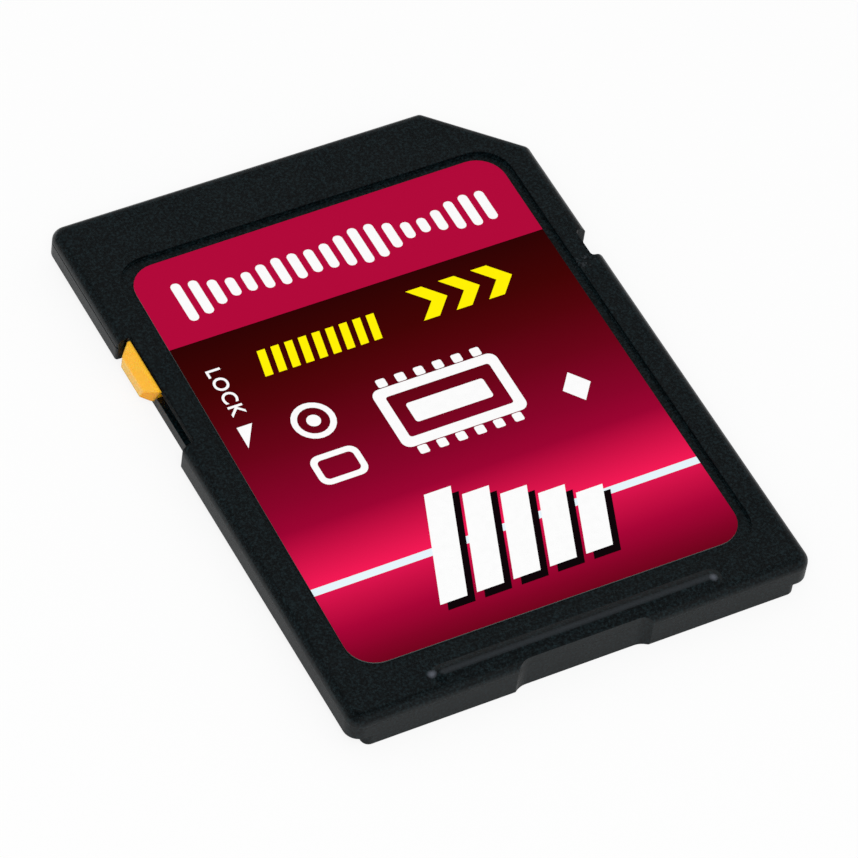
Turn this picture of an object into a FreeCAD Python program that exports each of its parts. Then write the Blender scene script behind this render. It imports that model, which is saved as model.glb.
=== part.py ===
import FreeCAD, Part
import math
import os

# A full-size memory card in the 24 x 32 mm format: two welded half shells with a board between
# them, a label in a shallow recess, and a write-protect slider that rides on a rail.
# Millimetres. The origin is the centre of the underside, +X is to the right seen from the label,
# +Y points to the contact end and +Z points up through the label.

Vector = FreeCAD.Vector

# Card outline and the height of its levels.
card_width = 24.0
card_length = 32.0
card_thickness = 2.1
step_height = 0.7
side_step = 0.75
parting_height = 1.47
corner_cut = 4.0
corner_radius = 0.75
cut_radius = 0.3
keel_corner_radius = 0.4
keel_edge_radius = 0.08

# The edge of the top face is a bevel blended into the top and the side by wide rounds.
shoulder_drop = 0.38
shoulder_inset = 0.3
shoulder_round = 0.45

# Shadow gap of the weld seam around the contact end; elsewhere the halves meet flush.
seam_gap = 0.07
seam_depth = 0.1

# Walls of the hollow inside.
rim_width = 1.25
floor_thickness = 0.3
roof_thickness = 0.2
ledge_width = 0.75
hollow_corner_radius = 0.4

# Locking notch in the right flange, measured from the contact end.
notch_from_end = 9.87
notch_length = 1.72
notch_depth = 0.66

# Slider slot in the left flange, measured from the contact end.
slot_from_end = 7.7
slot_length = 6.9
slot_depth = 0.64

# Rounding of notch and slot.
mouth_radius = 0.12
root_radius = 0.2

# Finger recess in the rear wall.
recess_width = 7.0
recess_depth = 0.26
recess_corner_radius = 1.0

# Low domed grip ridge across the rear end of the top face.
ridge_length = 15.0
ridge_width = 1.05
ridge_height = 0.14
ridge_root = 0.05
ridge_from_rear = 0.97

# Label and the recess that takes it.
label_recess_depth = 0.2
label_recess_side = 1.55
label_recess_front = 3.43
label_recess_rear = 2.0
label_recess_radius = 1.7
label_gap = 0.4
label_rear_gap = 0.58
label_thickness = 0.06

# Board, its locating pegs and the ribs of the upper half that press on it.
board_thickness = 0.4
board_gap = 0.1
peg_radius = 0.5
peg_gap = 0.06
peg_boss_radius = 1.0
peg_inset_side = 2.2
peg_inset_rear = 2.2
peg_drop = 0.05
backing_rib_width = 0.5
backing_rib_inset = 2.6
backing_rib_first = 2.5
backing_rib_spacing = 2.2

# Contacts, seen from the label with number 9 beside the cut corner and number 8 at the far side.
contact_edge_right = 2.4
contact_edge_left = 2.47
contact_7_step = 2.43
contact_8_step = 1.7
contact_width = 1.5
contact_8_width = 1.1
contact_length = 4.0
contact_from_end = 1.5
contact_9_drop = 3.2
contact_thickness = 0.05
window_gap = 0.2
window_end_gap = 0.3

# Chips and small parts on the upper side of the board.
package_headroom = 0.06
flash_width = 14.0
flash_length = 12.0
flash_from_rear = 4.2
controller_width = 6.5
controller_length = 5.5
controller_gap = 1.2
controller_offset = 2.0
package_bevel = 0.12
small_part_length = 1.0
small_part_width = 0.5
small_part_spacing = 1.6
small_part_from_side = 5.15
small_part_row_gap = 2.4
capacitor_headroom = 0.12
resistor_headroom = 0.25
terminal_length = 0.25
terminal_rise = 0.03

# Write-protect slider: an outer thumb block, a tongue over the rail and a leg hooked behind it.
# The block's nose, at its rear end, has two facets and leans; its tail has one.
slider_length = 3.4
slider_end_gap = 0.2
slider_side_gap = 0.08
slider_rail_gap = 0.03
slider_sink = 0.04
slider_drop = 0.05
slider_slope_width = 0.38
slider_slope_height = 0.66
slider_facet_depth = 0.38
slider_nose_length = 0.52
slider_nose_lean = 0.6
slider_tip_length = 0.08
slider_tail_length = 0.28
slider_round = 0.12
slider_shoulder_round = 0.25
tongue_thickness = 0.6
leg_thickness = 0.4
hook_inset = 0.7
hook_overlap = 0.1

# Places worked out from the sizes above.
half_width = card_width / 2
half_length = card_length / 2
keel_half_width = half_width - side_step
hollow_half_width = half_width - rim_width
recess_floor = card_thickness - label_recess_depth
ceiling = recess_floor - roof_thickness
board_top = step_height + board_thickness
notch_high = half_length - notch_from_end
notch_low = notch_high - notch_length
slot_high = half_length - slot_from_end
slot_low = slot_high - slot_length
window_end = half_length - contact_from_end - contact_length - window_end_gap
leg_outer = -hollow_half_width + slider_side_gap
leg_inner = leg_outer + leg_thickness

# How far cutters run past the material, and how near two points count as one.
overrun = 1.0
same_point = 1e-6


def level(x, y):
    """Point on the plane of the underside."""
    return Vector(x, y, 0)


def crosswise(x, z):
    """Point on the section plane that runs across the card."""
    return Vector(x, 0, z)


def outline_face(corners, plane=level):
    """Plane face from corner points (u, v, radius), each corner rounded by a tangent arc."""
    edges = []
    joints = []
    points = [plane(u, v) for u, v, radius in corners]
    count = len(corners)
    for i, corner in enumerate(points):
        radius = corners[i][2]
        to_last = (points[i - 1] - corner).normalize()
        to_next = (points[(i + 1) % count] - corner).normalize()
        half_angle = to_last.getAngle(to_next) / 2
        reach = radius / math.tan(half_angle)
        start = corner + to_last * reach
        end = corner + to_next * reach
        if radius > 0:
            inward = (to_last + to_next).normalize()
            middle = corner + inward * (radius / math.sin(half_angle) - radius)
            edges.append(Part.Arc(start, middle, end).toShape())
        joints.append((start, end))
    for i in range(count):
        leave = joints[i][1]
        arrive = joints[(i + 1) % count][0]
        if not leave.isEqual(arrive, same_point):
            edges.append(Part.makeLine(leave, arrive))
    return Part.Face(Part.Wire(Part.__sortEdges__(edges)))


def prism(corners, low, high):
    """Upright prism on an outline, from one level to another."""
    face = outline_face(corners)
    face.translate(Vector(0, 0, low))
    return face.extrude(Vector(0, 0, high - low))


def ruled_solid(levels):
    """Solid between two outlines of the same form, each given with its level."""
    wires = []
    for corners, height in levels:
        wire = outline_face(corners).OuterWire
        wire.translate(Vector(0, 0, height))
        wires.append(wire)
    return Part.makeLoft(wires, True, True)


def rectangle(left, right, rear, front, radius=0.0):
    """Corners of a rectangle with equal corner radii."""
    return [(left, rear, radius), (right, rear, radius), (right, front, radius), (left, front, radius)]


def along_y(corners, start, end):
    """Solid with a constant crosswise section, run along Y."""
    face = outline_face(corners, crosswise)
    face.translate(Vector(0, start, 0))
    return face.extrude(Vector(0, end - start, 0))


def edges_at(shape, height):
    """Edges of a solid that lie wholly at one level."""
    boxes = [(edge, edge.BoundBox) for edge in shape.Edges]
    return [e for e, box in boxes if max(abs(box.ZMin - height), abs(box.ZMax - height)) < same_point]


def cut_corner_outline(side, end, cut, radius):
    """Card-shaped outline with its cut corner at the right of the contact end."""
    return [
        (-side, -end, radius),
        (side, -end, radius),
        (side, end - cut, cut_radius),
        (side - cut, end, cut_radius),
        (-side, end, radius),
    ]


def inset_cut(inset):
    """Length of the cut corner on an outline drawn in evenly by an inset."""
    return corner_cut - inset * (2 - math.sqrt(2))


def card_outline(inset=0.0):
    """Card outline without notch and slot, drawn in evenly by an inset."""
    side = half_width - inset
    end = half_length - inset
    return cut_corner_outline(side, end, inset_cut(inset), corner_radius - inset)


def flange_outline():
    """Card outline with the locking notch on the right and the slider slot on the left."""
    rear_left, rear_right, cut_low, cut_high, front_left = card_outline()
    notch_x = half_width - notch_depth
    slot_x = -half_width + slot_depth
    return [
        rear_left,
        rear_right,
        (half_width, notch_low, mouth_radius),
        (notch_x, notch_low, root_radius),
        (notch_x, notch_high, root_radius),
        (half_width, notch_high, mouth_radius),
        cut_low,
        cut_high,
        front_left,
        (-half_width, slot_high, mouth_radius),
        (slot_x, slot_high, root_radius),
        (slot_x, slot_low, root_radius),
        (-half_width, slot_low, mouth_radius),
    ]


def inset_outline(inset):
    """Plain card outline drawn in evenly by an inset, for the hollow and what lies in it."""
    side = half_width - inset
    end = half_length - inset
    return cut_corner_outline(side, end, inset_cut(inset), hollow_corner_radius)


def finger_recess():
    """Cutter for the shallow finger recess in the middle of the rear wall."""
    back = -half_length + recess_depth
    outside = recess_corner_radius - recess_depth
    mouth_overlap = recess_corner_radius - math.sqrt(recess_corner_radius ** 2 - outside ** 2)
    half = recess_width / 2 + mouth_overlap
    rear = back - 2 * recess_corner_radius - overrun
    corners = rectangle(-half, half, rear, back, recess_corner_radius)
    return prism(corners, -overrun, card_thickness + overrun)


def slot_opening(low, high):
    """Cutter that opens the slider slot from the flange into the hollow."""
    outside = -half_width - overrun
    inside = -hollow_half_width + overrun
    return prism(rectangle(outside, inside, slot_low, slot_high), low, high)


def contact_places():
    """Number, centre, width and front end of the nine contacts."""
    right = half_width - contact_edge_right
    left = -half_width + contact_edge_left
    pitch = (right - left - contact_7_step - contact_8_step) / 6
    front = half_length - contact_from_end
    places = [(9, right, contact_width, front - contact_9_drop)]
    for number in range(1, 7):
        places.append((number, right - number * pitch, contact_width, front))
    places.append((7, left + contact_8_step, contact_width, front))
    places.append((8, left, contact_8_width, front))
    return places


def contact_windows():
    """Cutters for the windows under the contacts, open to the contact end; 7 and 8 share one."""
    spans = []
    for number, x, width, front in contact_places():
        reach = width / 2 + window_gap
        spans.append((x - reach, x + reach, front))
    window_8 = spans.pop()
    window_7 = spans.pop()
    spans.append((window_8[0], window_7[1], window_7[2]))
    cutters = []
    for left, right, front in spans:
        rear = front - contact_length - window_end_gap
        corners = rectangle(left, right, rear, half_length + overrun)
        cutters.append(prism(corners, -overrun, step_height))
    return cutters


def peg_places():
    """Centres of the two pegs that locate the board."""
    x = half_width - peg_inset_side
    y = -half_length + peg_inset_rear
    return [(-x, y), (x, y)]


def make_lower_shell():
    """Lower half: keel, flanges, board tray, contact comb, slider rail and board pegs."""
    keel_cut = corner_cut - side_step
    keel_outline = cut_corner_outline(keel_half_width, half_length, keel_cut, keel_corner_radius)
    keel = prism(keel_outline, 0, step_height)
    keel = keel.makeFillet(keel_edge_radius, edges_at(keel, 0))
    shell = prism(flange_outline(), step_height, parting_height).fuse(keel).removeSplitter()

    tray = prism(inset_outline(rim_width), step_height, parting_height)
    pocket_side = hollow_half_width - ledge_width
    pocket_rear = -half_length + rim_width + ledge_width
    pocket_front = window_end - contact_9_drop - ledge_width
    pocket = prism(
        rectangle(-pocket_side, pocket_side, pocket_rear, pocket_front, hollow_corner_radius),
        floor_thickness,
        step_height,
    )
    leg_channel = prism(
        rectangle(-hollow_half_width, -pocket_side + overrun, slot_low, slot_high),
        floor_thickness,
        step_height,
    )
    rail_opening = slot_opening(step_height, parting_height)
    shell = shell.cut([tray, pocket, leg_channel, rail_opening, finger_recess()] + contact_windows())

    for x, y in peg_places():
        boss_height = step_height - floor_thickness
        boss = Part.makeCylinder(peg_boss_radius, boss_height, Vector(x, y, floor_thickness))
        peg_height = board_top - peg_drop - step_height
        peg = Part.makeCylinder(peg_radius, peg_height, Vector(x, y, step_height))
        shell = shell.fuse([boss, peg])
    return shell.removeSplitter()


def crown():
    """Upper half above the parting, with a rounded shoulder from its side to the top face."""
    shoulder = card_thickness - shoulder_drop
    bevel = ruled_solid([(card_outline(), shoulder), (card_outline(shoulder_inset), card_thickness)])
    body = prism(card_outline(), parting_height, shoulder).fuse(bevel).removeSplitter()
    creases = edges_at(body, shoulder) + edges_at(body, card_thickness)
    return body.makeFillet(shoulder_round, creases)


def seam_shadow():
    """Cutter for the shadow gap of the seam, from the slider slot around the contact end."""
    seam_top = parting_height + seam_gap
    side = half_width + overrun
    outside = prism(rectangle(-side, side, slot_high, half_length + overrun), parting_height, seam_top)
    return outside.cut(prism(card_outline(seam_depth), parting_height, seam_top))


def grip_ridge():
    """Low domed grip ridge with round ends, the top of a long capsule rooted in the top face."""
    radius = (ridge_width ** 2 / 4 + ridge_height ** 2) / (2 * ridge_height)
    side = (ridge_length - ridge_width) / 2
    y = -half_length + ridge_from_rear
    z = card_thickness + ridge_height - radius
    tip = side + radius
    half_capsule = outline_face(
        [(-tip, z, 0), (tip, z, 0), (tip, z + radius, radius), (-tip, z + radius, radius)], crosswise
    )
    half_capsule.translate(Vector(0, y, 0))
    capsule = half_capsule.revolve(Vector(0, y, z), Vector(1, 0, 0), 360)
    root = rectangle(-tip, tip, y - radius, y + radius)
    return capsule.common(prism(root, card_thickness - ridge_root, card_thickness + ridge_height + overrun))


def make_upper_shell():
    """Upper half: roof with label recess and grip ridge, rim, slot lip and board backing ribs."""
    flanges = prism(flange_outline(), parting_height, card_thickness + overrun)
    body = crown().common(flanges).cut(seam_shadow())
    body = body.fuse(grip_ridge()).removeSplitter()

    recess_side = half_width - label_recess_side
    recess_rear = -half_length + label_recess_rear
    recess_front = half_length - label_recess_front
    label_recess = prism(
        rectangle(-recess_side, recess_side, recess_rear, recess_front, label_recess_radius),
        recess_floor,
        card_thickness + overrun,
    )
    hollow = prism(inset_outline(rim_width), parting_height, ceiling)
    slit = slot_opening(parting_height, ceiling)
    body = body.cut([label_recess, hollow, slit, finger_recess()])

    rib_side = half_width - backing_rib_inset
    ribs = []
    for i in range(2):
        front = half_length - backing_rib_first - i * backing_rib_spacing
        corners = rectangle(-rib_side, rib_side - corner_cut, front - backing_rib_width, front)
        ribs.append(prism(corners, board_top, ceiling))
    return body.fuse(ribs).removeSplitter()


def make_label():
    """Printed label, set into its recess with a gap that is wider at the rear."""
    side = half_width - label_recess_side - label_gap
    rear = -half_length + label_recess_rear + label_rear_gap
    front = half_length - label_recess_front - label_gap
    corners = rectangle(-side, side, rear, front, label_recess_radius - label_gap)
    return prism(corners, recess_floor, recess_floor + label_thickness)


def make_board():
    """Circuit board with a bay for the slider's leg and holes for the locating pegs."""
    board = prism(inset_outline(rim_width + board_gap), step_height, board_top)
    bay = prism(
        rectangle(-half_width, leg_inner + board_gap, slot_low - board_gap, slot_high + board_gap),
        step_height,
        board_top,
    )
    holes = []
    for x, y in peg_places():
        holes.append(Part.makeCylinder(peg_radius + peg_gap, board_thickness, Vector(x, y, step_height)))
    return board.cut([bay] + holes)


def make_contact(x, width, front):
    """Gold-plated contact on the underside of the board."""
    corners = rectangle(x - width / 2, x + width / 2, front - contact_length, front)
    return prism(corners, step_height - contact_thickness, step_height)


def make_package(x, y, width, length):
    """Moulded chip package on the board, with a bevelled top edge."""
    top = ceiling - package_headroom
    package = prism(rectangle(x - width / 2, x + width / 2, y - length / 2, y + length / 2), board_top, top)
    return package.makeChamfer(package_bevel, edges_at(package, top))


def make_small_part(x, y, headroom):
    """Chip capacitor or resistor with a raised metal terminal at each end."""
    top = ceiling - headroom
    half = small_part_length / 2
    side = small_part_width / 2
    part = prism(rectangle(x - side, x + side, y - half, y + half), board_top, top)
    for low, high in ((y - half, y - half + terminal_length), (y + half - terminal_length, y + half)):
        edge = side + terminal_rise
        terminal = prism(rectangle(x - edge, x + edge, low, high), board_top, top + terminal_rise)
        part = part.fuse(terminal)
    return part.removeSplitter()


def make_slider():
    """Write-protect slider at its unlocked end of the slot."""
    front = slot_high - slider_end_gap
    rear = front - slider_length
    outer = -half_width + slider_sink
    lip = -half_width + slot_depth - slider_side_gap
    bottom = step_height + slider_rail_gap
    top = card_thickness - slider_drop
    leg_bottom = floor_thickness + slider_side_gap
    tongue_top = bottom + tongue_thickness
    thumb_section = [
        (outer, bottom, 0),
        (lip, bottom, 0),
        (lip, top, 0),
        (outer + slider_slope_width, top, slider_round),
        (outer, top - slider_slope_height, slider_shoulder_round),
    ]
    facet_x = outer + slider_facet_depth
    levels = []
    for height, nose in ((bottom, rear + slider_nose_lean), (top, rear)):
        plan = [
            (outer, nose + slider_nose_length, slider_round),
            (facet_x, nose + slider_tip_length, slider_round),
            (lip, nose, 0),
            (lip, front, 0),
            (facet_x, front, slider_round),
            (outer, front - slider_tail_length, slider_round),
        ]
        levels.append((plan, height))
    thumb = ruled_solid(levels).common(along_y(thumb_section, rear, front))
    hook_section = [
        (lip - hook_overlap, bottom, 0),
        (leg_outer, bottom, 0),
        (leg_outer, leg_bottom, 0),
        (leg_inner, leg_bottom, 0),
        (leg_inner, tongue_top, 0),
        (lip - hook_overlap, tongue_top, 0),
    ]
    hook = along_y(hook_section, rear + hook_inset, front - hook_inset)
    return thumb.fuse(hook).removeSplitter()


def make_parts():
    """All pieces of the card by name."""
    parts = {
        "lower_shell": make_lower_shell(),
        "upper_shell": make_upper_shell(),
        "front_label": make_label(),
        "circuit_board": make_board(),
        "write_protect_slider": make_slider(),
    }
    for number, x, width, front in contact_places():
        parts["contact_%d" % number] = make_contact(x, width, front)

    flash_y = -half_length + flash_from_rear + flash_length / 2
    controller_y = flash_y + (flash_length + controller_length) / 2 + controller_gap
    parts["flash_memory_chip"] = make_package(0, flash_y, flash_width, flash_length)
    parts["controller_chip"] = make_package(
        controller_offset, controller_y, controller_width, controller_length
    )
    for i in range(3):
        x = -half_width + small_part_from_side + i * small_part_spacing
        parts["capacitor_%d" % (i + 1)] = make_small_part(x, controller_y, capacitor_headroom)
        y = controller_y + small_part_row_gap
        parts["resistor_%d" % (i + 1)] = make_small_part(x, y, resistor_headroom)
    return parts


os.makedirs("parts", exist_ok=True)
for name, shape in make_parts().items():
    shape.exportStep("parts/%s.step" % name)
    print(name, shape.isValid(), len(shape.Solids), round(shape.Volume, 3))
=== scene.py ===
import math

import bmesh
import bpy
from mathutils import Matrix, Vector


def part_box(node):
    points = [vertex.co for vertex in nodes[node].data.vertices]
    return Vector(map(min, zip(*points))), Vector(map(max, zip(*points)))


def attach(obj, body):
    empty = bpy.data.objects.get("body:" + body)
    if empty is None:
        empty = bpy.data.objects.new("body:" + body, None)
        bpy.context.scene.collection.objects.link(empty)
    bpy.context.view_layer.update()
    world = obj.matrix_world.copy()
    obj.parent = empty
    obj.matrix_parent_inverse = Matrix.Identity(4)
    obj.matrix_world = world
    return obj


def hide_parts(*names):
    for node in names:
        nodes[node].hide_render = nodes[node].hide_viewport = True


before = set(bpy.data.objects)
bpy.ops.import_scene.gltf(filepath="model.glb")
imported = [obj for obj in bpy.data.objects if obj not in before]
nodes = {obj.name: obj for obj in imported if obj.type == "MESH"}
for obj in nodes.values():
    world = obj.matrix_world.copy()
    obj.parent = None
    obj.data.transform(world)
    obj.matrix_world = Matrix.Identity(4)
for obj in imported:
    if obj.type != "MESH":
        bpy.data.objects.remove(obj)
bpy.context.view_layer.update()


# Case shells
# Two half shells injection moulded in black glass-filled plastic and welded along the side seam.
# The spark-eroded mould gives every outer face a fine matt grain with softly broken edges.
# The grip ridge has a painted highlight along its crest and painted glints at its ends, and a few scuffs
# mark the notch.

MM = 0.001


def srgb(red, green, blue):
    """Linear colour from display values of 0 to 255."""
    values = [c / 255 for c in (red, green, blue)]
    linear = [c / 12.92 if c <= 0.04045 else ((c + 0.055) / 1.055) ** 2.4 for c in values]
    return (*linear, 1.0)


def new_node(tree, kind, inputs=None, **settings):
    """Adds a shader node with its settings, and sets or links its inputs by name or number."""
    made = tree.nodes.new(kind)
    for name, value in settings.items():
        setattr(made, name, value)
    for key, value in (inputs or {}).items():
        if isinstance(value, bpy.types.NodeSocket):
            tree.links.new(value, made.inputs[key])
        else:
            made.inputs[key].default_value = value
    return made


def calculate(tree, operation, *values):
    """Result of a sum or a comparison of values."""
    return new_node(tree, "ShaderNodeMath", dict(enumerate(values)), operation=operation).outputs["Value"]


def between(tree, value, low, high, at_low=0.0, at_high=1.0):
    """Value that runs from at_low to at_high while another one runs from low to high."""
    limits = {"Value": value, "From Min": low, "From Max": high, "To Min": at_low, "To Max": at_high}
    return new_node(tree, "ShaderNodeMapRange", limits).outputs["Result"]


def blend(tree, share, first, second):
    """Colour that runs from the first to the second while a share runs from 0 to 1."""
    colours = {"Factor": share, 6: first, 7: second}
    return new_node(tree, "ShaderNodeMix", colours, data_type="RGBA").outputs[2]


def ramp(tree, value, stops):
    """Colour along a row of stops, each a position and a colour."""
    made = new_node(tree, "ShaderNodeValToRGB", {"Fac": value})
    elements = made.color_ramp.elements
    while len(elements) < len(stops):
        elements.new(0.5)
    for element, (position, colour) in zip(elements, stops):
        element.position = position
        element.color = colour
    return made.outputs["Color"]


def object_place(tree):
    """Place on the piece, in metres."""
    return new_node(tree, "ShaderNodeTexCoord").outputs["Object"]


def axes_of(tree, vector):
    """The X, Y and Z of a vector."""
    return new_node(tree, "ShaderNodeSeparateXYZ", {"Vector": vector}).outputs


def noise(tree, place, scale, detail=2.0, **more):
    """Noise of 0 to 1 over a place, with its scale per metre."""
    inputs = {"Vector": place, "Scale": scale, "Detail": detail, **more}
    return new_node(tree, "ShaderNodeTexNoise", inputs).outputs["Fac"]


def from_point(tree, place, point, operation):
    """Offset or distance of a place from a point given in millimetres."""
    ends = {0: place, 1: [c * MM for c in point]}
    return new_node(tree, "ShaderNodeVectorMath", ends, operation=operation).outputs


def new_material(name, **values):
    """Material with a Principled shader, returned with its node tree and that shader.

    The values go on the shader's sockets, with an underscore for each space in a socket's name.
    """
    made = bpy.data.materials.new(name)
    made.use_nodes = True
    shader = made.node_tree.nodes["Principled BSDF"]
    for key, value in values.items():
        shader.inputs[key.replace("_", " ")].default_value = value
    return made, made.node_tree, shader


def dress(node_name, material):
    """Puts a material in the slots of a CAD node."""
    for i in range(len(nodes[node_name].data.materials)):
        nodes[node_name].data.materials[i] = material


# Moulded grain, shared by the plastics: values of 0 to 1 for the fine grain and for a broad
# mottle, and a bumped normal with softened edges.
grain = bpy.data.node_groups.new("moulded_grain", "ShaderNodeTree")
for name, value in (("Scale", 9000.0), ("Depth", 6e-6), ("Edge", 4e-5)):
    socket = grain.interface.new_socket(name, in_out="INPUT", socket_type="NodeSocketFloat")
    socket.default_value = value
for name, kind in (("Grain", "Float"), ("Mottle", "Float"), ("Normal", "Vector")):
    grain.interface.new_socket(name, in_out="OUTPUT", socket_type="NodeSocket" + kind)
given = new_node(grain, "NodeGroupInput").outputs
place = object_place(grain)
fine = noise(grain, place, given["Scale"], 3.0, Roughness=0.75)
broad = noise(grain, place, 450.0)
soft_edge = new_node(grain, "ShaderNodeBevel", {"Radius": given["Edge"]}, samples=8)
bump = new_node(
    grain,
    "ShaderNodeBump",
    {
        "Strength": 1.0,
        "Distance": given["Depth"],
        "Height": fine,
        "Normal": soft_edge.outputs["Normal"],
    },
)
new_node(grain, "NodeGroupOutput", {"Grain": fine, "Mottle": broad, "Normal": bump.outputs["Normal"]})

shell_plastic, tree, shader = new_material("shell_plastic", IOR=1.5)
place = object_place(tree)

# The lip beside the slider slot is duller and more rounded than the other edges.
lip_middle = (-11.36, 4.85, 1.92)
lip_reach = (0.05, 3.5, 0.3)
from_lip = axes_of(tree, from_point(tree, place, lip_middle, "SUBTRACT")["Vector"])
near_x, near_y, near_z = (
    calculate(tree, "COMPARE", from_lip[axis], 0.0, reach * MM) for axis, reach in zip("XYZ", lip_reach)
)
near_lip = calculate(tree, "MULTIPLY", calculate(tree, "MULTIPLY", near_x, near_y), near_z)
edge = between(tree, near_lip, 0.0, 1.0, 4e-5, 2.4e-4)
surface = new_node(
    tree,
    "ShaderNodeGroup",
    {"Scale": 7500.0, "Depth": 8e-6, "Edge": edge},
    node_tree=grain,
).outputs
tint = ramp(tree, surface["Grain"], [(0.45, srgb(0, 4, 6)), (0.68, srgb(20, 35, 39))])
satin = between(tree, surface["Mottle"], 0.3, 0.7, 0.26, 0.34)
roughness = calculate(tree, "MAXIMUM", satin, near_lip)

# Painted highlight on the crest of the ridge, real scuffs that gather at the notch, and painted glints on
# the ridge's ends.
ridge_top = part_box("upper_shell")[1][2]
height = axes_of(tree, place)["Z"]
# Painted highlight: the top of the ridge's crest is painted paler where it catches a reflection.
crest_highlight = between(tree, height, ridge_top - 0.018 * MM, ridge_top - 0.002 * MM, 0.0, 0.75)
notch_corner = (10.9, 4.2, 2.1)
from_notch = from_point(tree, place, notch_corner, "DISTANCE")["Value"]
nearness = between(tree, from_notch, 0.9 * MM, 0.2 * MM, 0.0, 0.22)
streaks = noise(tree, place, 4200.0, 3.0, Distortion=1.5)
scuffs = between(tree, calculate(tree, "ADD", streaks, nearness), 0.74, 0.82)
# This mask holds both the real scuffs at the notch and the painted highlight on the crest.
scuffs_and_highlight = calculate(tree, "MAXIMUM", crest_highlight, scuffs)
scuffed_and_highlighted = blend(tree, scuffs_and_highlight, tint, srgb(44, 48, 52))
# Painted glints: a bright spot is painted at each end of the ridge where light glints off the rounded
# end.
glint_centres = ((-7.45, -14.89, 2.12), (7.06, -15.12, 2.3))
from_left, from_right = (from_point(tree, place, end, "DISTANCE")["Value"] for end in glint_centres)
from_end = calculate(tree, "MINIMUM", from_left, from_right)
end_glint = between(tree, from_end, 0.26 * MM, 0.06 * MM, 0.0, 0.9)
glinted_colour = blend(tree, end_glint, scuffed_and_highlighted, srgb(86, 90, 99))
tree.links.new(glinted_colour, shader.inputs["Base Color"])
tree.links.new(roughness, shader.inputs["Roughness"])
tree.links.new(surface["Normal"], shader.inputs["Normal"])
dress("lower_shell", shell_plastic)
dress("upper_shell", shell_plastic)


# Label film
# A printed film with rounded corners, stuck in the recess of the upper shell. It is cut a little
# out of square, so its left side runs towards the recess wall at the rear end.
# The ground is a crimson band over a field from dark maroon to bright red, with a pale line across.

label_low, label_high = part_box("front_label")
ground = [
    (-13.5, srgb(107, 0, 24)),
    (-12.5, srgb(130, 0, 36)),
    (-11.0, srgb(165, 1, 52)),
    (-9.5, srgb(201, 12, 67)),
    (-8.72, srgb(219, 17, 76)),
    (-8.42, srgb(243, 24, 84)),
    (-6.5, srgb(200, 12, 66)),
    (-5.0, srgb(154, 0, 48)),
    (-3.5, srgb(136, 0, 40)),
    (-0.5, srgb(106, 0, 22)),
    (2.0, srgb(83, 0, 8)),
    (4.0, srgb(66, 0, 1)),
    (6.9, srgb(47, 0, 0)),
]
ground_rear = ground[0][0]
ground_front = ground[-1][0]
band_edge = 6.91
line_middle = -8.57
line_width = 0.41
label_film, tree, shader = new_material("label_film", Roughness=0.5, Specular_IOR_Level=0.02)
along = axes_of(tree, object_place(tree))["Y"]
share = between(tree, along, ground_rear * MM, ground_front * MM)
stops = [((y - ground_rear) / (ground_front - ground_rear), colour) for y, colour in ground]
field = ramp(tree, share, stops)
on_line = calculate(tree, "COMPARE", along, line_middle * MM, line_width / 2 * MM)
lined = blend(tree, on_line, field, srgb(228, 242, 248))
on_band = calculate(tree, "GREATER_THAN", along, band_edge * MM)
banded = blend(tree, on_band, lined, srgb(177, 5, 57))
turn = axes_of(tree, new_node(tree, "ShaderNodeNewGeometry").outputs["True Normal"])
cut_edge = calculate(tree, "LESS_THAN", turn["Z"], 0.5)
film_colour = blend(tree, cut_edge, banded, srgb(100, 112, 112))
tree.links.new(film_colour, shader.inputs["Base Color"])


def on_card(name, mesh, material):
    """Makes a finished mesh a piece of the label that rides on the card."""
    mesh.materials.clear()
    mesh.materials.append(material)
    piece = bpy.data.objects.new(name, mesh)
    bpy.context.scene.collection.objects.link(piece)
    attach(piece, "card")
    return piece


film_corners = ((-10.37, -13.31), (9.94, -13.42), (10.0, 12.19), (-9.86, 12.04))
film_radius = 1.45
film = bmesh.new()
corners = [film.verts.new((x * MM, y * MM, label_low[2])) for x, y in film_corners]
sheet = film.faces.new(corners)
reaches = [film_radius * MM / math.tan(loop.calc_angle() / 2) for loop in sheet.loops]
lifted = bmesh.ops.extrude_face_region(film, geom=[sheet])["geom"]
upper_corners = [element for element in lifted if isinstance(element, bmesh.types.BMVert)]
bmesh.ops.translate(film, vec=(0, 0, label_high[2] - label_low[2]), verts=upper_corners)
bmesh.ops.recalc_face_normals(film, faces=film.faces)
upright = [e for corner in corners for e in corner.link_edges if e.other_vert(corner) in upper_corners]
for side_edge, reach in zip(upright, reaches):
    bmesh.ops.bevel(
        film,
        geom=[side_edge],
        offset=reach,
        offset_type="OFFSET",
        affect="EDGES",
        segments=8,
        profile=0.5,
        material=-1,
    )
film_mesh = bpy.data.meshes.new("printed_film")
film.to_mesh(film_mesh)
film.free()
printed_film = on_card("printed_film", film_mesh, label_film)
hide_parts("front_label")


# Band strokes
# A row of upright white strokes screen printed across the crimson band, their heights in waves.
# Each is a layer of ink a hundredth of a millimetre thick on the film.

INK = 0.01
film_top = label_high[2] / MM


def print_ink(name, colour):
    """Satin printing ink with the faint unevenness of a screen print."""
    made, tree, shader = new_material(name, Roughness=0.5, Specular_IOR_Level=0.02)
    thin = tuple(0.98 * c for c in colour[:3])
    uneven = noise(tree, object_place(tree), 2500.0)
    tone = ramp(tree, uneven, [(0.3, (*thin, 1.0)), (0.6, colour)])
    tree.links.new(tone, shader.inputs["Base Color"])
    return made


def printed(curve, matrix, material):
    """Turns a flat curve or a text in millimetres into a piece of ink that rides on the card."""
    source = bpy.data.objects.new(curve.name, curve)
    mesh = bpy.data.meshes.new_from_object(source)
    mesh.transform(Matrix.Scale(MM, 4) @ matrix)
    on_card(curve.name, mesh, material)
    bpy.data.objects.remove(source)


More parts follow.
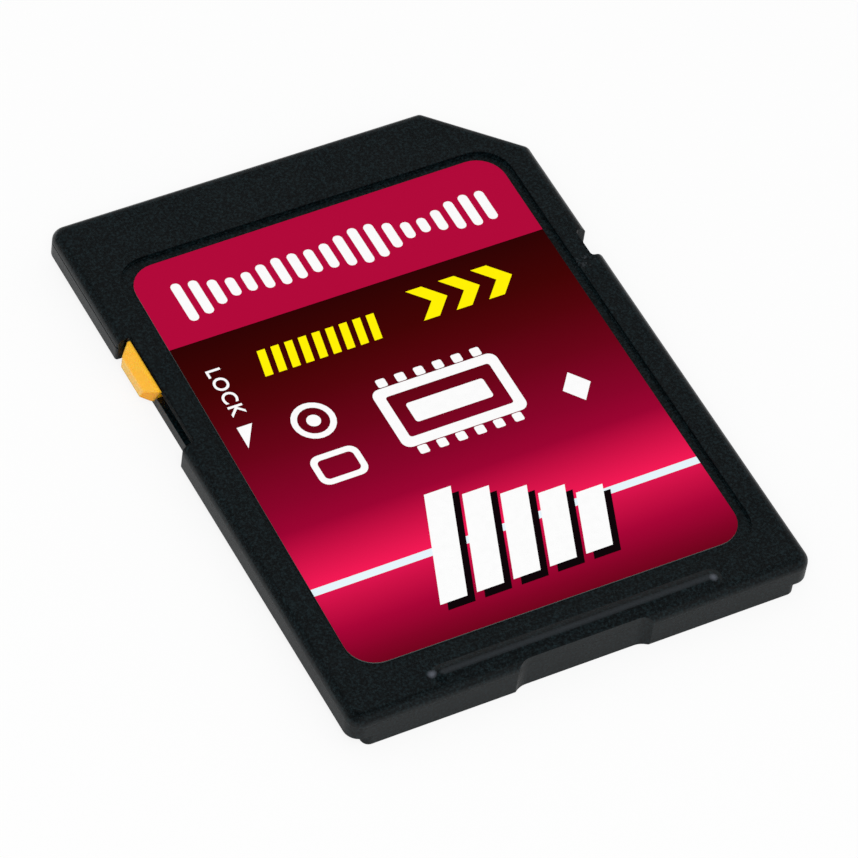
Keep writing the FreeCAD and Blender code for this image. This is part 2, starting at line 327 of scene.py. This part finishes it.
def ink_layer(name, outlines, material, lift=0.0):
    """Layer of ink from closed outlines; an outline inside another one is a hole."""
    curve = bpy.data.curves.new(name, "CURVE")
    curve.dimensions = "2D"
    curve.fill_mode = "BOTH"
    curve.extrude = INK / 2
    for outline in outlines:
        spline = curve.splines.new("POLY")
        spline.points.add(len(outline) - 1)
        for point, (x, y) in zip(spline.points, outline):
            point.co = (x, y, 0, 1)
        spline.use_cyclic_u = True
    printed(curve, Matrix.Translation((0, 0, film_top + lift + INK / 4)), material)


def round_box(x, y, width, height, radius, steps=6):
    """Closed outline of a box about a centre, with each round corner in a number of steps."""
    side = width / 2 - radius
    top = height / 2 - radius
    outline = []
    for i, (u, v) in enumerate(((side, top), (-side, top), (-side, -top), (side, -top))):
        for k in range(steps + 1):
            angle = math.radians(90 * i + 90 * k / steps)
            outline.append((x + u + radius * math.cos(angle), y + v + radius * math.sin(angle)))
    return outline


white_ink = print_ink("white_ink", srgb(250, 250, 250))
first_stroke = -7.98
stroke_pitch = 0.85
stroke_middle = 9.33
tallest_stroke = 2.45
strokes = []
for i in range(20):
    wave = 0.68 + 0.32 * math.cos(i * 0.85) * math.cos(i * 0.23)
    x = first_stroke + stroke_pitch * i
    strokes.append(round_box(x, stroke_middle, 0.5, tallest_stroke * wave, 0.24))
ink_layer("band_strokes", strokes, white_ink)


# Yellow marks
# A row of short slanted ticks and three bold chevrons, printed in yellow below the band.
# They fill the width of the dark end of the field.

yellow_ink = print_ink("yellow_ink", srgb(255, 240, 0))
foot = 3.75
top = 5.3
ticks = []
for i in range(9):
    x = -6.5 + 0.72 * i
    ticks.append([(x, foot), (x + 0.42, foot), (x + 0.72, top), (x + 0.3, top)])
ink_layer("yellow_ticks", ticks, yellow_ink)
foot = 3.95
middle = 4.92
top = 5.9
chevrons = []
for i in range(3):
    x = 2.0 + 1.75 * i
    chevrons.append(
        [(x, foot), (x + 0.85, foot), (x + 1.75, middle), (x + 0.85, top), (x, top), (x + 0.9, middle)]
    )
ink_layer("yellow_chevrons", chevrons, yellow_ink)


# Symbols
# White pictograms in the middle of the field: a ring with a dot, a round-cornered frame, a chip
# with its legs, and a diamond.

ring_x, ring_y = -5.62, 0.5
frame_x, frame_y = -5.73, -2.35
chip_x, chip_y = 0.85, -0.85
diamond_x, diamond_y = 6.8, -2.42
symbols = [
    round_box(ring_x, ring_y, 2.18, 2.18, 1.09),
    round_box(ring_x, ring_y, 1.56, 1.56, 0.78),
    round_box(ring_x, ring_y, 0.7, 0.7, 0.35),
    round_box(frame_x, frame_y, 2.5, 1.8, 0.5),
    round_box(frame_x, frame_y, 1.86, 1.16, 0.25),
    round_box(chip_x, chip_y, 6.6, 3.7, 0.45),
    round_box(chip_x, chip_y, 5.5, 2.6, 0.15),
    round_box(chip_x, chip_y, 4.1, 1.2, 0.15),
    [
        (diamond_x - 0.75, diamond_y),
        (diamond_x, diamond_y - 0.92),
        (diamond_x + 0.75, diamond_y),
        (diamond_x, diamond_y + 0.92),
    ],
]
for i in range(6):
    for y in (chip_y + 2.15, chip_y - 2.15):
        symbols.append(round_box(chip_x - 2.5 + i, y, 0.5, 0.5, 0.1))
ink_layer("symbols", symbols, white_ink)


# Level bars
# Bold slanted white bars of falling height across the pale line, the largest print on the label.
# A black copy, set a little lower and to the right, is printed first as their drop shadow.

LEAN = 0.38
black_ink = print_ink("black_ink", srgb(14, 4, 8))
foot = -11.45
bars = []
for i in range(5):
    left = -5.2 + 1.9 * i
    right = left + 1.4
    rise = 6.0 - 0.66 * i
    shift = LEAN * rise
    bars.append([(left, foot), (right, foot), (right + shift, foot + rise), (left + shift, foot + rise)])
ink_layer("level_bar_shadow", [[(x + 0.2, y - 0.42) for x, y in bar] for bar in bars], black_ink)
ink_layer("level_bars", bars, white_ink, INK / 4)


# Lock marking
# The plain switch marking beside the slot: the word for the locked end and an arrow towards it.
# Printed in white, reading from the contact end to the rear.

word = bpy.data.curves.new("lock_word", "FONT")
word.body = "LOCK"
word.size = 1.05
word.offset = 0.016
word.space_character = 1.14
word.extrude = INK / 2
word_x, word_y = -8.99, 5.16
reading = Matrix.Rotation(math.radians(-90), 4, "Z")
printed(word, Matrix.Translation((word_x, word_y, film_top + INK / 4)) @ reading, white_ink)
ink_layer("lock_arrow", [[(-9.14, 1.48), (-8.34, 1.48), (-9.16, 0.17)]], white_ink)


# Write-protect slider
# A small orange switch moulded in translucent plastic that clips over the rail in the left flange.
# Its thumb face is sloped and its ends are bevelled, with the satin finish of a polished mould.
# Its outer face is painted paler as painted light from the side, and its rear end is painted a deeper
# orange as painted shade.

slider_plastic, tree, shader = new_material(
    "slider_plastic",
    Roughness=0.42,
    Specular_IOR_Level=0.3,
    Subsurface_Weight=0.35,
    Subsurface_Radius=(1.0, 0.5, 0.2),
    Subsurface_Scale=5e-4,
)
surface = new_node(tree, "ShaderNodeGroup", {"Depth": 1e-6, "Edge": 1.6e-4}, node_tree=grain).outputs
tint = ramp(tree, surface["Grain"], [(0.3, srgb(255, 180, 38)), (0.7, srgb(255, 187, 47))])
turn = axes_of(tree, surface["Normal"])
# Painted light: faces turned outwards, to the left, are painted a paler peach.
off_outer_face = between(tree, turn["X"], -1.0, -0.86, 0.1)
outer_face_highlighted = blend(tree, off_outer_face, srgb(255, 200, 104), tint)
# Painted shade: faces turned towards the rear end are painted a deeper orange.
off_rear_end = between(tree, turn["Y"], -0.5, -0.1, 0.1)
orange_with_painted_light = blend(tree, off_rear_end, srgb(255, 168, 0), outer_face_highlighted)
tree.links.new(orange_with_painted_light, shader.inputs["Base Color"])
tree.links.new(surface["Normal"], shader.inputs["Normal"])
dress("write_protect_slider", slider_plastic)


# Circuit board
# Thin glass laminate under black solder mask, seen only in the contact windows and the slot.
# The weave shows faintly through the mask.

board_laminate, tree, shader = new_material("board_laminate", Roughness=0.35, IOR=1.5)
weave = new_node(
    tree,
    "ShaderNodeTexChecker",
    {
        "Vector": object_place(tree),
        "Scale": 5000.0,
        "Color1": srgb(12, 16, 15),
        "Color2": srgb(18, 23, 21),
    },
)
tree.links.new(weave.outputs["Color"], shader.inputs["Base Color"])
dress("circuit_board", board_laminate)


# Contacts
# Nine gold-plated copper pads on the underside of the board, behind the windows of the lower shell.
# The springs of a socket leave fine wipe marks along them.

contact_gold, tree, shader = new_material("contact_gold", Metallic=1.0)
stretched = {"Vector": object_place(tree), "Scale": (1.0, 0.06, 1.0)}
lengthwise = new_node(tree, "ShaderNodeMapping", stretched).outputs["Vector"]
wipe = noise(tree, lengthwise, 24000.0)
plate = ramp(tree, wipe, [(0.35, srgb(230, 190, 108)), (0.65, srgb(241, 204, 126))])
dull = between(tree, wipe, 0.0, 1.0, 0.22, 0.45)
tree.links.new(plate, shader.inputs["Base Color"])
tree.links.new(dull, shader.inputs["Roughness"])
for number in range(1, 10):
    dress("contact_%d" % number, contact_gold)


# Chips
# The memory and its controller in black moulded resin, on the upper side of the board.
# The resin has the fine speckle of its filler.

package_resin, tree, shader = new_material("package_resin", Roughness=0.55)
surface = new_node(tree, "ShaderNodeGroup", {"Scale": 14000.0, "Depth": 3e-6}, node_tree=grain).outputs
tint = ramp(tree, surface["Grain"], [(0.4, srgb(34, 35, 37)), (0.75, srgb(58, 59, 61))])
tree.links.new(tint, shader.inputs["Base Color"])
tree.links.new(surface["Normal"], shader.inputs["Normal"])
for name in ("flash_memory_chip", "controller_chip"):
    dress(name, package_resin)


# Capacitors and resistors
# Small ceramic parts with a tinned metal terminal at each end, in rows beside the controller.
# The capacitors are tan and the resistors are glazed black.


def small_part_material(name, node_name, body):
    """Ceramic body with tinned terminals a quarter of its length from each end."""
    made, tree, shader = new_material(name, Roughness=0.45)
    low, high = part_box(node_name)
    middle = (low[1] + high[1]) / 2
    quarter = (high[1] - low[1]) / 4
    offset = calculate(tree, "SUBTRACT", axes_of(tree, object_place(tree))["Y"], middle)
    terminal = calculate(tree, "GREATER_THAN", calculate(tree, "ABSOLUTE", offset), quarter)
    tree.links.new(blend(tree, terminal, body, srgb(196, 196, 192)), shader.inputs["Base Color"])
    tree.links.new(terminal, shader.inputs["Metallic"])
    return made


capacitor_ceramic = small_part_material("capacitor_ceramic", "capacitor_1", srgb(150, 118, 84))
resistor_ceramic = small_part_material("resistor_ceramic", "resistor_1", srgb(36, 36, 40))
for number in range(1, 4):
    dress("capacitor_%d" % number, capacitor_ceramic)
    dress("resistor_%d" % number, resistor_ceramic)


# Floor, light and camera
# A plain white table under soft studio light, seen from above with a long lens.
# The floor is white to the camera and a little greyer for its bounce, and keeps the card's shadow.


def grey(value):
    """Neutral colour of one linear value."""
    return (value, value, value, 1.0)


floor_material, tree, shader = new_material("floor")
tree.nodes.remove(shader)
ray = new_node(tree, "ShaderNodeLightPath").outputs
# Painted light: in reflections the floor is painted darker towards the camera and lighter towards the far
# side.
reflected_light_falloff = between(tree, axes_of(tree, object_place(tree))["Y"], -20 * MM, 15 * MM, 0.4, 0.62)
tone = blend(tree, ray["Is Glossy Ray"], grey(0.9), reflected_light_falloff)
matt = new_node(tree, "ShaderNodeBsdfDiffuse", {"Color": tone}).outputs["BSDF"]
white = new_node(tree, "ShaderNodeEmission").outputs["Emission"]
whitened = calculate(tree, "MULTIPLY", ray["Is Camera Ray"], 0.84)
table = new_node(tree, "ShaderNodeMixShader", {0: whitened, 1: matt, 2: white})
tree.links.new(table.outputs["Shader"], tree.nodes["Material Output"].inputs["Surface"])
table_top = bmesh.new()
bmesh.ops.create_grid(table_top, x_segments=1, y_segments=1, size=1.5)
bmesh.ops.translate(table_top, vec=(0, 0, -1e-5), verts=table_top.verts)
floor_mesh = bpy.data.meshes.new("floor")
table_top.to_mesh(floor_mesh)
table_top.free()
floor_mesh.materials.append(floor_material)
floor = bpy.data.objects.new("floor", floor_mesh)
bpy.context.scene.collection.objects.link(floor)

dome_levels = (
    (0.0, 0.14),
    (0.3, 0.24),
    (0.58, 0.3),
    (0.68, 0.05),
    (0.77, 0.05),
    (0.85, 0.3),
    (0.91, 0.04),
    (1.0, 0.02),
)
world = bpy.data.worlds.new("studio")
bpy.context.scene.world = world
world.use_nodes = True
tree = world.node_tree
ray = new_node(tree, "ShaderNodeLightPath").outputs
direction = axes_of(tree, new_node(tree, "ShaderNodeTexCoord").outputs["Generated"])
dome = ramp(tree, direction["Z"], [(height, grey(value)) for height, value in dome_levels])
side_fall = between(tree, direction["X"], -0.75, -0.1, 0.4, 1.0)
sides = new_node(tree, "ShaderNodeVectorMath", {0: dome, "Scale": side_fall}, operation="SCALE")
level = blend(tree, ray["Is Glossy Ray"], grey(0.64), sides.outputs["Vector"])
sky = blend(tree, ray["Is Camera Ray"], level, grey(1.0))
tree.links.new(sky, tree.nodes["Background"].inputs["Color"])

lamp = bpy.data.lights.new("key_softbox", "AREA")
lamp.energy = 2.9
lamp.size = 0.35
lamp_object = bpy.data.objects.new("key_softbox", lamp)
lamp_place = Vector((-0.26, -0.38, 0.6))
lamp_object.location = lamp_place
lamp_object.visible_glossy = False
lamp_object.rotation_euler = (-lamp_place).to_track_quat("-Z", "Y").to_euler()
bpy.context.scene.collection.objects.link(lamp_object)

camera = bpy.data.cameras.new("camera")
camera.lens = 243.008
camera.sensor_width = 36.0
camera_object = bpy.data.objects.new("camera", camera)
camera_place = Vector((-99.45, -144.944, 207.956)) * MM
right = Vector((0.88169, -0.46058, 0.10242))
up = Vector((0.29785, 0.71167, 0.63625))
aim = Matrix((right, up, right.cross(up))).transposed()
camera_object.matrix_world = Matrix.Translation(camera_place) @ aim.to_4x4()
bpy.context.scene.collection.objects.link(camera_object)
bpy.context.scene.camera = camera_object
bpy.context.scene.view_settings.view_transform = "Standard"
